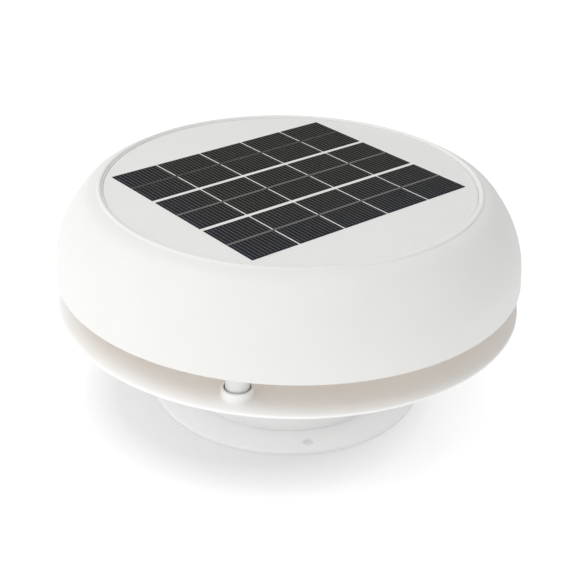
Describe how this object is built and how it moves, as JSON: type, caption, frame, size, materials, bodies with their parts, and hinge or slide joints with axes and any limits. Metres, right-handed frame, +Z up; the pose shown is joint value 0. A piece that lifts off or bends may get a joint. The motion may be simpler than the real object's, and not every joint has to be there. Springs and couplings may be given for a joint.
{
  "type": "solar roof vent fan",
  "caption": "Round roof vent with a domed hood carrying a solar panel, standing on posts over a round tray, with a motor, impeller and duct neck on a flat screw-down flange.",
  "frame": {"origin": "centre of the mounting flange's underside, on the axis of the duct", "axes": "+Z up along the duct and impeller axis; +X along the long side of the solar array; +Y across it"},
  "size_m": [0.2514, 0.2514, 0.1227],
  "materials": {
    "hood_plastic": "fine satin moulded texture",
    "base_plastic": "fine satin moulded texture",
    "post_plastic": "satin",
    "panel_sheet": "matt white backing sheet",
    "silicon": "dark silicon under clear resin",
    "solder_ribbon": "tinned strip",
    "clear_cover": "clear, slightly satin",
    "foam": "closed cell foam",
    "rubber": "moulded rubber",
    "black_mesh": "powder coated",
    "steel": "plain",
    "screw_steel": "bright",
    "pod_plastic": "satin",
    "dark_plastic": "satin",
    "impeller_plastic": "satin moulded",
    "magnet": "sintered ferrite",
    "copper_winding": "enamelled copper and steel",
    "bronze": "sintered bronze",
    "brass_contact": "plated",
    "board_green": "solder mask",
    "component_black": "moulded",
    "cell_sleeve": "shrink sleeve",
    "wire_red": "insulated wire",
    "wire_black": "insulated wire"
  },
  "bodies": {
    "mount": {"mounting_flange": "base_plastic", "neck_gasket": "rubber", "insect_screen": "black_mesh", "screen_retainer": "base_plastic"},
    "vent": {"base_tray": "base_plastic", "standoff_posts": "post_plastic", "post_screws": "screw_steel", "top_hood": "hood_plastic", "panel_seal": "foam", "panel_board": "panel_sheet", "solar_cells": "silicon", "cell_ribbons": "solder_ribbon", "panel_cover": "clear_cover", "motor_pod": "pod_plastic", "pod_screws": "screw_steel", "motor_can": "steel", "motor_end_cap": "dark_plastic", "motor_bushes": "bronze", "motor_magnets": "magnet", "motor_terminals": "brass_contact", "motor_screws": "screw_steel", "control_case": "pod_plastic", "case_screws": "screw_steel", "circuit_board": "board_green", "board_components": "component_black", "switch_body": "dark_plastic", "battery_case": "pod_plastic", "battery_cell": "cell_sleeve", "battery_plate": "brass_contact", "battery_spring": "brass_contact", "panel_leads": "wire_red", "battery_leads": "wire_black", "motor_leads": "wire_red"},
    "rotor": {"motor_shaft": "steel", "motor_rotor": "copper_winding", "impeller": "impeller_plastic", "impeller_nut": "dark_plastic"},
    "switch": {"switch_button": "dark_plastic"},
    "battery_door": {"battery_cover": "pod_plastic"}
  },
  "joints": [
    {"name": "vent_twist", "type": "hinge", "parent": "mount", "child": "vent", "pos_m": [0, 0, 0.0095], "axis": [0, 0, 1], "range_deg": [0, 22]},
    {"name": "impeller_spin", "type": "hinge", "parent": "vent", "child": "rotor", "pos_m": [0, 0, 0.052], "axis": [0, 0, 1], "continuous": true},
    {"name": "switch_slide", "type": "slide", "parent": "vent", "child": "switch", "axis": [1, 0, 0], "range_m": [0, 0.0035]},
    {"name": "battery_cover_slide", "type": "slide", "parent": "vent", "child": "battery_door", "axis": [1, 0, 0], "range_m": [0, 0.009]}
  ]
}
